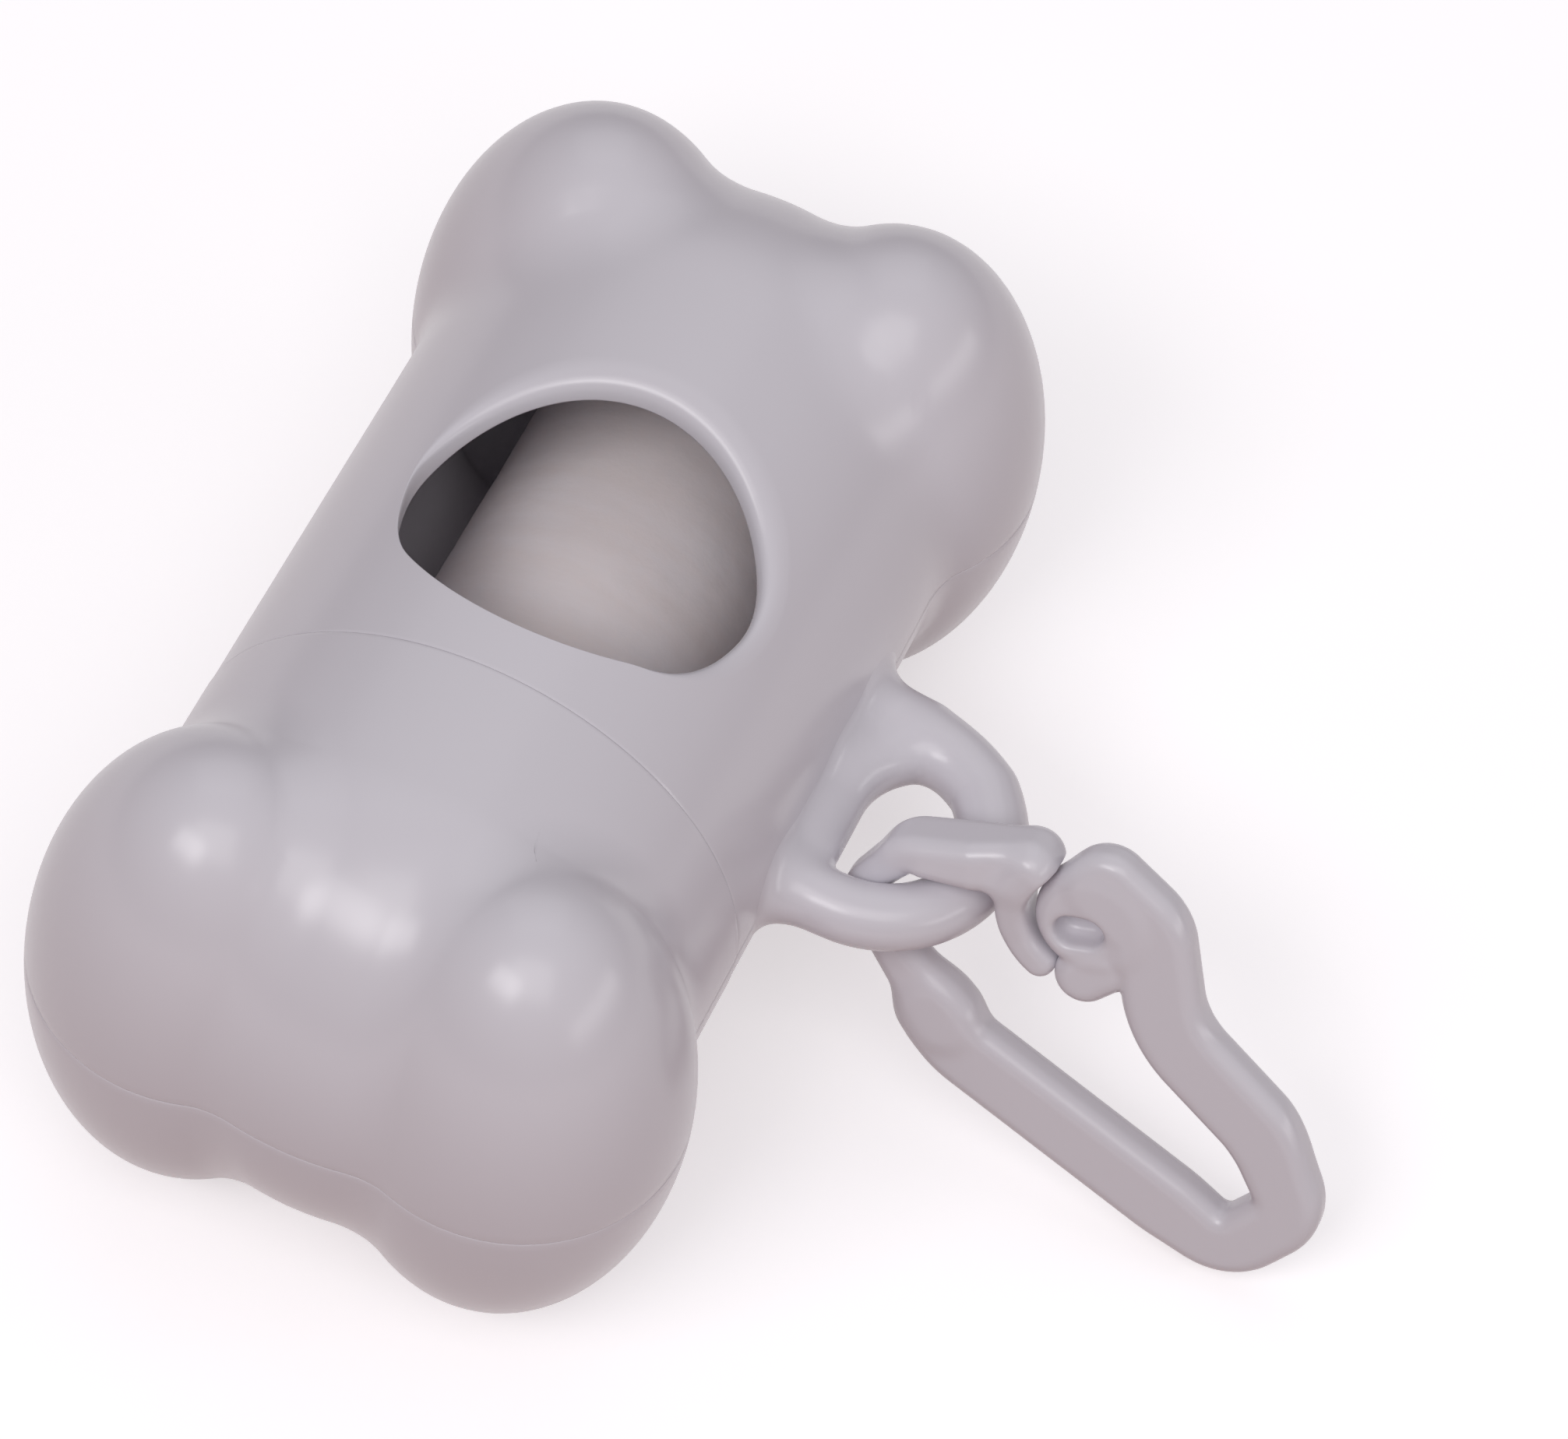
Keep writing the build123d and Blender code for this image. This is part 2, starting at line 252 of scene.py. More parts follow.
def region_loop(shaft_r, level, y_from, centre):
    """Outline in plan of the bone's +Y part from y_from on, anticlockwise from its left seam corner."""
    centre = np.array(centre, float)
    inner_r = shaft_r + level

    def outline(angles):
        ways = np.stack([np.cos(angles), np.sin(angles)], axis=-1)
        return centre + ways * bone_reach(centre, ways, shaft_r, level)[:, None]

    turns = np.linspace(-math.pi / 2, math.pi / 2, SEAM_COLUMNS + 1)[:-1]
    seam = np.stack([inner_r * np.sin(turns), np.full(SEAM_COLUMNS, y_from)], axis=-1)
    first = math.atan2(y_from - centre[1], inner_r)
    angles = np.linspace(first, math.pi - first, OUTLINE_SAMPLES)
    steps = np.linalg.norm(np.diff(outline(angles), axis=0), axis=1)
    run = np.concatenate([[0], np.cumsum(steps)])
    wanted = np.linspace(0, run[-1], OUTLINE_COLUMNS + 1)[:-1]
    around = outline(np.interp(wanted, run, angles))
    around[0] = (inner_r, y_from)
    return np.concatenate([seam, around])


def square_patch(loop):
    """Fills a closed loop of 4k points with a grid of (k+1) by (k+1), by blending its four sides."""
    k = len(loop) // 4
    low, right = loop[:k + 1], loop[k:2 * k + 1]
    high, left = loop[2 * k:3 * k + 1][::-1], np.concatenate([loop[3 * k:], loop[:1]])[::-1]
    u = np.linspace(0, 1, k + 1)[None, :, None]
    v = np.linspace(0, 1, k + 1)[:, None, None]
    sides = (1 - v) * low[None] + v * high[None] + (1 - u) * left[:, None] + u * right[:, None]
    corners = ((1 - u) * (1 - v) * loop[0] + u * (1 - v) * loop[k]
               + u * v * loop[2 * k] + (1 - u) * v * loop[3 * k])
    return sides - corners


class Sheet:
    """One skin of a half shell: rows of points from its middle or window out to its rim."""

    def __init__(self, shaft_r, level, y_from, centre, window_grown=None):
        loop = region_loop(shaft_r, level, y_from, centre)
        self.at_seam = np.arange(len(loop)) <= SEAM_COLUMNS
        self.at_outline = np.arange(len(loop)) >= SEAM_COLUMNS
        self.at_outline[0] = True
        centre = np.array(centre)
        ways = loop - centre
        if window_grown is None:
            start = centre + ways * CORE_SHARE
        else:
            grown = window_grown(np.arctan2(ways[:, 1], ways[:, 0]))
            ways = ways / np.linalg.norm(ways, axis=1, keepdims=True)
            start = centre + ways * window_reach(ways, grown)[:, None]
        share = np.insert(np.sin(np.linspace(0, math.pi / 2, SHEET_ROWS + 1)), 1, FIRST_ROW)
        target = loop.copy()
        target[self.at_seam, 1] += SEAM_BACK
        plan = start[None] + (target - start)[None] * share[:, None, None]
        plan[-1] = loop
        heights = bone_heights(plan, shaft_r, level)
        heights[-1] = np.where(self.at_outline, 0, heights[-1])
        self.rows = np.concatenate([plan, heights[..., None]], axis=-1)
        if window_grown is None:
            core = square_patch(start)
            height = bone_heights(core, shaft_r, level)
            self.patch = np.concatenate([core, height[..., None]], axis=-1)


RIM_SOFT = 0.16          # how far the rim's support rows lie from its edge


def rim_rows(outer, inner, wall, line_depth):
    """Rows round the rim: a support row, the line's bottom, the flat face, and the inner support row."""
    back = np.zeros_like(outer.rows[-1])
    back[outer.at_seam, 1] = RIM_SOFT
    back[outer.at_outline, 2] = RIM_SOFT
    edge, base = outer.rows[-1], inner.rows[-1]
    across = (base - edge) / wall
    fine_line = [edge + across * line_depth * 0.8 + back * 0.45, edge + across * line_depth * 1.6]
    return [edge + back, *fine_line, edge + across * 0.6, base - across * 0.25, base + back * 0.6]


def new_object(name, data):
    """An object in the scene."""
    made = bpy.data.objects.new(name, data)
    bpy.context.scene.collection.objects.link(made)
    return made


class MeshParts:
    """Collects points and faces of one piece."""

    def __init__(self):
        self.points, self.faces, self.count = [], [], 0

    def add(self, points):
        """Adds an array of points and returns their numbers in the same shape."""
        points = np.asarray(points, float)
        numbers = np.arange(self.count, self.count + points[..., 0].size).reshape(points.shape[:-1])
        self.points.append(points.reshape(-1, 3))
        self.count += numbers.size
        return numbers

    def quads(self, *corners):
        """Adds a face for each four numbers."""
        self.faces.append(np.stack([x.ravel() for x in corners], axis=1))

    def band(self, rows):
        """Joins rows of numbers by quads, each row closed on itself."""
        rows = np.asarray(rows)
        beside = np.roll(rows, -1, axis=1)
        self.quads(rows[:-1], beside[:-1], beside[1:], rows[1:])

    def build(self, name, to_metres):
        """Makes the object, smooth shaded, with its mesh already in the shared frame."""
        mesh = bpy.data.meshes.new(name)
        points = to_metres(np.concatenate(self.points))
        mesh.from_pydata(points.tolist(), [], np.concatenate(self.faces).tolist())
        work = bmesh.new()
        work.from_mesh(mesh)
        bmesh.ops.remove_doubles(work, verts=work.verts, dist=SAME_PLACE)
        bmesh.ops.recalc_face_normals(work, faces=work.faces)
        work.to_mesh(mesh)
        work.free()
        mesh.validate()
        if not len(mesh.polygons):
            raise RuntimeError(name + " has no faces")
        mesh.shade_smooth()
        return new_object(name, mesh)


def bone_to_metres(points):
    """From millimetres about the bone's middle to the shared frame."""
    return (points + np.array((BONE_X, 0, AXIS_Z))) * MM


def half_shell(name, shaft_r, y_from, centre, window, signs):
    """One moulded half of the body or the cap, hollow, with its rim; signs turn it to its place."""
    wall = mm("wall")
    outer = Sheet(shaft_r, 0, y_from, centre, flare_width if window else None)
    inner = Sheet(shaft_r, -wall, y_from, centre, np.zeros_like if window else None)
    support, *rim = rim_rows(outer, inner, wall, mm("line_depth"))
    parts = MeshParts()
    outer_rows = parts.add([*outer.rows[:-1], support])
    rim = [parts.add(row) for row in rim]
    inner_rows = parts.add(inner.rows[:-1])
    parts.band(outer_rows)
    parts.band([outer_rows[-1], *rim, inner_rows[-1]])
    parts.band(inner_rows[::-1])
    if window:
        start, end = outer.rows[0], inner.rows[0]
        brow = end.copy()
        brow[:, 2] = bone_heights(end[:, :2], shaft_r, 0)
        bevel = [(1 - t) ** 2 * start + 2 * t * (1 - t) * brow + t * t * end for t in BEVEL_STEPS]
        bevel = [parts.add(row) for row in bevel]
        parts.band([inner_rows[0], *bevel[::-1], outer_rows[0]])
    else:
        for sheet, way in ((outer, 1), (inner, -1)):
            number = parts.add(sheet.patch)
            corners = number[:-1, :-1], number[:-1, 1:], number[1:, 1:], number[1:, :-1]
            parts.quads(*corners[::way])
    return parts.build(name, lambda points: bone_to_metres(points * np.array(signs)))


# ---- soft solids from fields ----

ALL_BUT_LAST, ALL_BUT_FIRST, INNER = slice(0, -1), slice(1, None), slice(1, -1)
CELLS_ROUND_EDGE = ((1, 1), (0, 1), (0, 0), (1, 0))


def block(parts):
    """Slices of three axes: the given part of each, or else the whole."""
    return tuple(parts.get(axis, slice(None)) for axis in range(3))


def surface_net(field, low, high, step):
    """Points and quads of a field's zero surface inside a box."""
    low, high = np.array(low, float), np.array(high, float)
    counts = np.ceil((high - low) / step).astype(int) + 1
    axes = [low[a] + step * np.arange(counts[a]) for a in range(3)]
    grid = np.stack(np.meshgrid(*axes, indexing="ij"), axis=-1)
    value = field(grid.reshape(-1, 3)).reshape(grid.shape[:-1])
    cells = tuple(counts - 1)
    total, hits = np.zeros(cells + (3,)), np.zeros(cells)
    crossings = []
    for axis in range(3):
        v0, v1 = value[block({axis: ALL_BUT_LAST})], value[block({axis: ALL_BUT_FIRST})]
        crossed = (v0 < 0) != (v1 < 0)
        share = np.where(crossed, v0 / np.where(crossed, v0 - v1, 1), 0)
        place = grid[block({axis: ALL_BUT_LAST})].copy()
        place[..., axis] += share * step
        first, second = (a for a in range(3) if a != axis)
        for part_a in (ALL_BUT_LAST, ALL_BUT_FIRST):
            for part_b in (ALL_BUT_LAST, ALL_BUT_FIRST):
                near = block({first: part_a, second: part_b})
                total += np.where(crossed[near][..., None], place[near], 0)
                hits += crossed[near]
        found = np.argwhere(crossed[block({first: INNER, second: INNER})])
        found[:, [first, second]] += 1
        rising = (v0[tuple(found.T)] < 0) != (axis == 1)
        crossings.append((first, second, found, rising))
    used = hits > 0
    number = np.full(cells, -1)
    number[used] = np.arange(used.sum())
    points = total[used] / hits[used][:, None]
    faces = []
    for first, second, found, rising in crossings:
        corners = []
        for back_a, back_b in CELLS_ROUND_EDGE:
            cell = found.copy()
            cell[:, first] -= back_a
            cell[:, second] -= back_b
            corners.append(number[tuple(cell.T)])
        four = np.stack(corners, axis=1)
        four[~rising] = four[~rising][:, ::-1]
        faces.append(four)
    return points, np.concatenate(faces)


SPREAD_PASSES, SPREAD_SHARE, LONGEST_STEP = 3, 0.5, 0.3


def relaxed(points, faces, field):
    """Spreads the points evenly and sets each one exactly on the field's surface."""
    edges = np.concatenate([faces[:, [i, (i + 1) % 4]] for i in range(4)])
    for _ in range(SPREAD_PASSES):
        total, hits = np.zeros_like(points), np.zeros(len(points))
        for a, b in ((0, 1), (1, 0)):
            for axis in range(3):
                total[:, axis] += np.bincount(edges[:, a], points[edges[:, b], axis], len(points))
            hits += np.bincount(edges[:, a], minlength=len(points))
        points = points + (total / np.maximum(hits, 1)[:, None] - points) * SPREAD_SHARE
        for _ in range(2):
            way = field_way(field, points)
            points = points - way * np.clip(field(points), -LONGEST_STEP, LONGEST_STEP)[:, None]
    return points


def soft_solid(name, field, low, high, to_metres, cuts=()):
    """A closed mesh of a field's surface, cut flat at planes (point, direction that goes away)."""
    points, faces = surface_net(field, low, high, mm("net_step"))
    points = relaxed(points, faces, field)
    parts = MeshParts()
    parts.add(points)
    parts.faces.append(faces)
    made = parts.build(name, to_metres)
    for point, way in cuts:
        work = bmesh.new()
        work.from_mesh(made.data)
        near = [v for v in work.verts if (v.co - point).length < CUT_REACH]
        met = set(near)
        rims = [e for e in work.edges if all(v in met for v in e.verts)]
        skin = [f for f in work.faces if all(v in met for v in f.verts)]
        bmesh.ops.bisect_plane(
            work, geom=near + rims + skin, dist=SAME_PLACE, plane_co=point, plane_no=way, clear_outer=True)
        rim = [e for e in work.edges if e.is_boundary]
        bmesh.ops.holes_fill(work, edges=rim, sides=0)
        work.to_mesh(made.data)
        work.free()
    made.data.set_sharp_from_angle(angle=SHARP_FROM)
    return made


def soft_union(a, b, reach):
    """The nearer of two fields, flowing into each other over that reach."""
    share = np.clip(0.5 + 0.5 * (b - a) / reach, 0, 1)
    return b + (a - b) * share - reach * share * (1 - share)


def soft_cut(a, b, reach):
    """Field a without what lies inside b, with a soft edge."""
    return -soft_union(-a, b, reach)


BEND_STEP = 0.25         # spacing of the points on a bend


def rounded_line(points, radii):
    """Straight runs with tangent bends, as points close together on the bends."""
    points = [np.array(p, float) for p in points]
    line = [points[0]]
    for before, corner, after, radius in zip(points, points[1:], points[2:], radii):
        a = (before - corner) / np.linalg.norm(before - corner)
        b = (after - corner) / np.linalg.norm(after - corner)
        half = math.acos(max(-1, min(1, float(a @ b)))) / 2
        back = radius / math.tan(half)
        middle = corner + (a + b) / np.linalg.norm(a + b) * (radius / math.sin(half))
        start, end = corner + a * back - middle, corner + b * back - middle
        turn = math.atan2(start[0] * end[1] - start[1] * end[0], float(start @ end))
        steps = max(6, int(abs(turn) * radius / BEND_STEP))
        turns = turn * np.arange(steps + 1)[:, None] / steps
        line.extend(middle + np.cos(turns) * start + np.sin(turns) * np.array((-start[1], start[0])))
    line.append(points[-1])
    return np.array(line)


def arc_points(middle, radius, first, last, count):
    """Points on an arc in plan, between two angles in degrees."""
    turns = np.radians(np.linspace(first, last, count))
    return np.stack([middle[0] + radius * np.cos(turns), middle[1] + radius * np.sin(turns)], axis=1)


def along_line(places, line):
    """Distance from each place to a line of points, and how far along it the nearest point is."""
    starts, runs = line[:-1], np.diff(line, axis=0)
    lengths = np.linalg.norm(runs, axis=1)
    begun = np.concatenate([[0], np.cumsum(lengths)[:-1]])
    best = np.full(len(places), 1e9)
    where = np.zeros(len(places))
    for start, run, long, so_far in zip(starts, runs, lengths, begun):
        if long < 1e-9:
            continue
        share = np.clip((places - start) @ run / long ** 2, 0, 1)
        gap = np.hypot(*(places - start - share[:, None] * run).T)
        nearer = gap < best
        best = np.where(nearer, gap, best)
        where = np.where(nearer, so_far + share * long, where)
    return best, where


def soft_section(off_line, off_plane, half_width, half_thick, rounding):
    """Field of a bar with a rounded section."""
    x = off_line - (half_width - rounding)
    y = np.abs(off_plane) - (half_thick - rounding)
    return np.hypot(np.maximum(x, 0), np.maximum(y, 0)) + np.minimum(np.maximum(x, y), 0) - rounding


# ---- side ring ----

RING_X, RING_Y, RING_BEND = 25.5, 1.1, 8.1
RING_LOW, RING_TOP = RING_Y - RING_BEND, RING_Y + RING_BEND
RING_ROOT_X = 18.6
RING_WEB = ((22.0, RING_LOW), (22.0, RING_TOP))
RING_GUSSET = ((21.6, 4.2), (25.2, 8.0))
RING_SHOULDER = ((18.6, 10.7), (25.2, 9.9), (31.1, 7.0), (33.7, 2.8))
RING_SUNK, RING_INSIDE = 0.1, 0.9             # how deep the ring's blend starts, and where it ends
RING_BOX = (18.4, -14.0, -5.4), (36.8, 16.4, 5.4)


def ring_field(points):
    """The side ring, its two roots flowing into the shell."""
    rod, blend = mm("ring_rod"), mm("ring_blend")
    bend = arc_points((RING_X, RING_Y), RING_BEND, -90, 90, 49)
    hoop = [(RING_ROOT_X, RING_LOW), *bend, (RING_ROOT_X, RING_TOP)]
    loop = None
    runs = ((hoop, 1, 0), (RING_WEB, 0.86, 1.2), (RING_GUSSET, 0.92, 1.6), (RING_SHOULDER, 0.94, 1.0))
    for line, slimness, reach in runs:
        gap, _ = along_line(points[:, :2], np.array(line))
        bar = np.hypot(gap, points[:, 2]) - rod * slimness
        loop = bar if loop is None else soft_union(loop, bar, reach)
    shell = bone_field(points, mm("shaft_radius"))
    whole = soft_union(loop, shell + RING_SUNK, blend)
    kept = np.maximum(whole, loop - blend * 0.9)
    return np.maximum(kept, -(shell + RING_INSIDE))


# ---- snap clip ----

NET_MARGIN = 0.5         # free room round the clip's net
CUT_REACH = 0.009        # how far round a cut's point the clip is cut, metres
CLIP_TURN, CLIP_LEAN, CLIP_DROOP = math.radians(-30), math.radians(16.6), math.radians(26.4)
CLIP_SHIFT = 0.2
HANG_X, HANG_Y, HANG_R = 25.1, 1.5, 8.1                  # the circle that the clip hangs on
LOOP = ((5.8, -7.95), (8.7, -8.8), (32.93, -5.45), (33.8, 1.18),
        (28.3, 4.4), (17.45, 5.1), (11.0, 10.75), (6.6, 10.75))
LOOP_BENDS = (6.8, 3.2, 3.2, 9.0, 9.0, 3.2)
TIP_SLIM, TIP_FROM, TIP_OVER = 0.38, 27.0, 5.0             # the bars' sides close in towards the tip
FLEX_START, FLEX_END = (33.27, -2.9), (33.51, -1.1)       # the flexing part, midway round the tip
EYE_LINE = ((6.56, -7.7), (1.6, -6.6), (-4.65, -5.2), (-4.65, 1.6), (1.7, 7.6))
EYE_BENDS = (6.8, 2.2, 2.2)
EYE_WIDTHS = (5.2, 4.0, 3.0, 2.6, 2.6, 3.3, 3.9, 4.3)
EYE_LIFTS = (0, 0, 0, 0, 0.35, 0.7, 0.75, 0.3)            # extra half thickness towards the face
BAR_ROUNDING = 1.3
CURL, CURL_R = (7.85, 8.0), 4.4
CATCH_IN, CATCH_OUT = 4.7, 7.1
CATCH_FROM, CATCH_TO = 180, 268
CATCH_LIFTS = (0.6, 0.5, 0.3, 0.1, 0)
KNOB_LINE, KNOB_R = ((10.5, 3.8), (10.8, 5.2)), 2.2
POCKET_LINE, POCKET_R = ((7.2, 6.35), (8.1, 7.25)), 1.2


def clip_to_metres(points):
    """From the clip's own millimetres (to the tip, to the gate, off its face) to the shared frame."""
    face = np.array((0, -math.cos(CLIP_LEAN), math.sin(CLIP_LEAN)))
    droop = math.sin(CLIP_DROOP)
    along = np.array((math.cos(CLIP_DROOP), -droop * math.sin(CLIP_LEAN), -droop * math.cos(CLIP_LEAN)))
    up = np.cross(face, along)
    hung = np.array((HANG_X + HANG_R * math.cos(CLIP_TURN), HANG_Y + HANG_R * math.sin(CLIP_TURN), 0))
    origin = hung - CLIP_SHIFT * face
    return bone_to_metres(origin + points[:, :1] * along + points[:, 1:2] * up + points[:, 2:] * face)


def clip_spot(s, t):
    """One place in the clip's plane, in the shared frame."""
    return Vector(clip_to_metres(np.array([[s, t, 0.0]]))[0])


def bar_field(points, line, widths, rounding=BAR_ROUNDING, lifts=(0,)):
    """A clip bar along a line; widths and lifts are given at even places along it."""
    gap, where = along_line(points[:, :2], line)
    share = where / np.linalg.norm(np.diff(line, axis=0), axis=1).sum()
    slim = TIP_SLIM * smooth((points[:, 0] - TIP_FROM) / TIP_OVER)
    half = np.interp(share, np.linspace(0, 1, len(widths)), widths) / 2 - slim
    lift = np.interp(share, np.linspace(0, 1, len(lifts)), lifts)
    half_thick = mm("clip_thickness") / 2 + lift
    return soft_section(gap, points[:, 2] - lift, half, half_thick, np.minimum(rounding, half - 0.05))


def loop_part(first, last):
    """Part of the clip's long loop, by the numbers of its corners."""
    return rounded_line(LOOP[first:last + 1], LOOP_BENDS[first:last - 1])


def off_curl(points):
    """Distance in the clip's plane from the middle of its curl."""
    return np.hypot(points[:, 0] - CURL[0], points[:, 1] - CURL[1])


def frame_field(points):
    """Back leg, eye, upper bar and catch."""
    leg = bar_field(points, loop_part(0, 3), (mm("clip_width"),))
    eye = bar_field(points, rounded_line(EYE_LINE, EYE_BENDS), EYE_WIDTHS, lifts=EYE_LIFTS)
    arc = arc_points(CURL, (CATCH_IN + CATCH_OUT) / 2, CATCH_FROM, CATCH_TO, 40)
    catch = bar_field(points, arc, (CATCH_OUT - CATCH_IN,), 0.9, CATCH_LIFTS)
    whole = soft_union(soft_union(leg, eye, 1.2), catch, 1.6)
    return soft_cut(whole, off_curl(points) - CATCH_IN, 0.25)


def gate_field(points):
    """Springy leg with its curled, knobbed end and the pocket in the curl."""
    thick = mm("clip_thickness") / 2
    leg = bar_field(points, loop_part(2, 7), (mm("clip_width"),))
    curl = soft_section(off_curl(points), points[:, 2], CURL_R, thick, BAR_ROUNDING)
    knob = bar_field(points, np.array(KNOB_LINE), (2 * KNOB_R,))
    whole = soft_union(soft_union(leg, curl, 0.9), knob, 0.35)
    gap, _ = along_line(points[:, :2], np.array(POCKET_LINE))
    pocket = soft_section(gap, points[:, 2] - thick, POCKET_R, 2.2, 0.8)
    return soft_cut(whole, pocket, 0.6)


def flex_field(points):
    """The flexing part between back leg and springy leg."""
    return bar_field(points, loop_part(2, 3), (mm("clip_width"),))


# ---- turned pieces ----

THREAD_FLAT, THREAD_FLANK, THREAD_FADE = 1.9, 5.2, 0.9
TURNED_COLUMNS = 256
NECK_R, NECK_BORE, COLLAR_BORE = 18.2, 16.6, 18.29


def thread_height(turn, y, y_low, y_high):
    """Height of the two-start thread over its root, 0 to 1, fading at both ends."""
    phase = np.mod(2 * y / mm("thread_pitch") + turn / math.pi, 1)
    ridge = smooth(THREAD_FLAT - np.abs(phase - 0.5) * THREAD_FLANK)
    return ridge * np.clip(np.minimum(y - y_low, y_high - y) / THREAD_FADE, 0, 1)


def turned_piece(name, profile, relief):
    """A ring about the bone's axis from a closed list of (y, radius, relief share)."""
    turns = np.linspace(0, 2 * math.pi, TURNED_COLUMNS, endpoint=False)
    rows = []
    for y, radius, share in profile:
        r = radius + share * relief(turns, y)
        rows.append(np.stack([r * np.cos(turns), np.full(TURNED_COLUMNS, y), r * np.sin(turns)], axis=1))
    parts = MeshParts()
    numbers = parts.add(rows)
    parts.band([*numbers, numbers[0]])
    return parts.build(name, bone_to_metres)


def softened(corners, soft=0.12):
    """Two close points for every corner of a closed profile, so that edges shade crisply."""
    made = []
    for i, (y, r, share) in enumerate(corners):
        for other in (corners[i - 1], corners[(i + 1) % len(corners)]):
            run = math.hypot(other[0] - y, other[1] - r)
            step = min(soft, run * 0.3) / run
            made.append((y + (other[0] - y) * step, r + (other[1] - r) * step, share))
    return made


def threaded_rows(y_start, y_end, radius, share, count=46):
    """Close rows along a threaded stretch."""
    return [(y_start + (y_end - y_start) * i / count, radius, share) for i in range(count + 1)]


def at_seam(*corners):
    """A plain profile, its corners given as (distance from the seam, radius)."""
    return [(SEAM_Y + y, r, 0) for y, r in corners]


# ---- bag roll ----

ROLL_HALF, CORE_R, ROLL_DROP = 29.0, 6.5, -3.9
ROLL_COLUMNS, ROLL_ROWS, END_LAYERS = 288, 150, 44
FILM_BANDS = ((0.03, 0.42, 0.8, 6), (0.02, 1.3, 2.0, 8))     # depth, pace along the roll, phase, sharpness
FILM_CREASE, FILM_SHOULDER, SHOULDER_RUN = 0.05, 0.35, 0.7
LAYER_STEP, LAYER_WANDER, END_GAP = 0.16, 0.14, 0.02


def gentle_noise(a, b, seed):
    """Smooth unevenness over two coordinates, between -1 and 1."""
    random = np.random.default_rng(seed)
    total = np.zeros(np.broadcast(a, b).shape)
    for _ in range(14):
        wave_a, wave_b = random.integers(1, 7), random.normal(0, 0.45)
        total = total + random.normal() * np.sin(wave_a * a + wave_b * b + random.uniform(0, 6.3))
    return np.clip(total / 5.0, -1, 1)


def film_roll():
    """The wound film: outer turn with its free edge, soft bands, and wound layers at both ends."""
    lap = mm("film_lap")
    turns = np.linspace(0, 2 * math.pi, ROLL_COLUMNS, endpoint=False)
    even = np.linspace(-1, 1, ROLL_ROWS)
    y = ROLL_HALF * (np.sin(even * math.pi / 2) + even) / 2
    turn_grid, y_grid = np.meshgrid(turns, y)
    spiral = mm("roll_radius") - lap + lap * turn_grid / (2 * math.pi)
    r = spiral + FILM_CREASE * (gentle_noise(turn_grid, y_grid * 0.6, 5) - 1)
    for depth, pace, phase, sharpness in FILM_BANDS:
        r = r - depth * np.sin(y_grid * pace + phase) ** sharpness
    past = np.clip((np.abs(y_grid) - ROLL_HALF + SHOULDER_RUN) / SHOULDER_RUN, 0, 1)
    r = r - FILM_SHOULDER * past ** 2
    skin = np.stack([r * np.cos(turn_grid), y_grid, r * np.sin(turn_grid)], axis=-1)
    ends = []
    for side in (1, -1):
        rows = []
        for i in range(1, END_LAYERS + 1):
            share = i / END_LAYERS
            ring = (spiral[0] - FILM_SHOULDER) * (1 - share) + (CORE_R + END_GAP) * share
            wander = 1 + gentle_noise(turns, np.full(ROLL_COLUMNS, i * 1.7), 11)
            depth = LAYER_STEP * (i % 2) + LAYER_WANDER * wander
            depth = depth * min(1, (END_LAYERS - i) / 2 + 0.2)
            along = side * (ROLL_HALF - END_GAP - depth)
            rows.append(np.stack([ring * np.cos(turns), along, ring * np.sin(turns)], axis=-1))
        ends.append(rows)
    parts = MeshParts()
    far, skin_rows, near = parts.add(ends[0]), parts.add(skin[::-1]), parts.add(ends[1])
    parts.band([*far[::-1], *skin_rows, *near, far[-1]])
    return parts.build("film_roll", lambda points: bone_to_metres(points + np.array((0, 0, ROLL_DROP))))


# ---- materials ----

def add_node(tree, kind, settings=None, inputs=None):
    """Adds a node, sets its options, and sets or links its inputs."""
    made = tree.nodes.new(kind)
    for key, value in (settings or {}).items():
        setattr(made, key, value)
    for key, value in (inputs or {}).items():
        if isinstance(value, bpy.types.NodeSocket):
            tree.links.new(value, made.inputs[key])
        else:
            made.inputs[key].default_value = value
    return made


def object_place(tree):
    """The object's own coordinates."""
    return add_node(tree, "ShaderNodeTexCoord").outputs["Object"]


def noise(tree, place, scale, detail, roughness=0.5):
    """A noise texture's value."""
    return add_node(tree, "ShaderNodeTexNoise", inputs={
        "Vector": place, "Scale": scale, "Detail": detail, "Roughness": roughness}).outputs["Fac"]


def spread(tree, value, low, high, top=1.0):
    """A value between low and high, stretched to between 0 and top."""
    return add_node(tree, "ShaderNodeMapRange", inputs={
        "Value": value, "From Min": low, "From Max": high, "To Max": top}).outputs["Result"]


def calculated(tree, operation, *values):
    """The result of one operation on numbers or sockets."""
    return add_node(tree, "ShaderNodeMath", {"operation": operation}, dict(enumerate(values))).outputs[0]


def mixed_colour(tree, share, first, second):
    """Two colours mixed by a share."""
    return add_node(tree, "ShaderNodeMix", {"data_type": "RGBA"}, {
        "Factor": share, 6: first, 7: second}).outputs[2]


SOCKET_KINDS = {1: "NodeSocketFloat", 3: "NodeSocketVector", 4: "NodeSocketColor"}


def new_group(name, inputs, output, output_kind="NodeSocketFloat"):
    """An empty shader node group, the sockets of its given values, and its one output socket."""
    group = bpy.data.node_groups.new(name, "ShaderNodeTree")
    for label, value in inputs.items():
        kind = SOCKET_KINDS[np.size(value)]
        group.interface.new_socket(name=label, in_out="INPUT", socket_type=kind).default_value = value
    group.interface.new_socket(name=output, in_out="OUTPUT", socket_type=output_kind)
    given, out = group.nodes.new("NodeGroupInput"), group.nodes.new("NodeGroupOutput")
    return group, given.outputs, out.inputs[output]


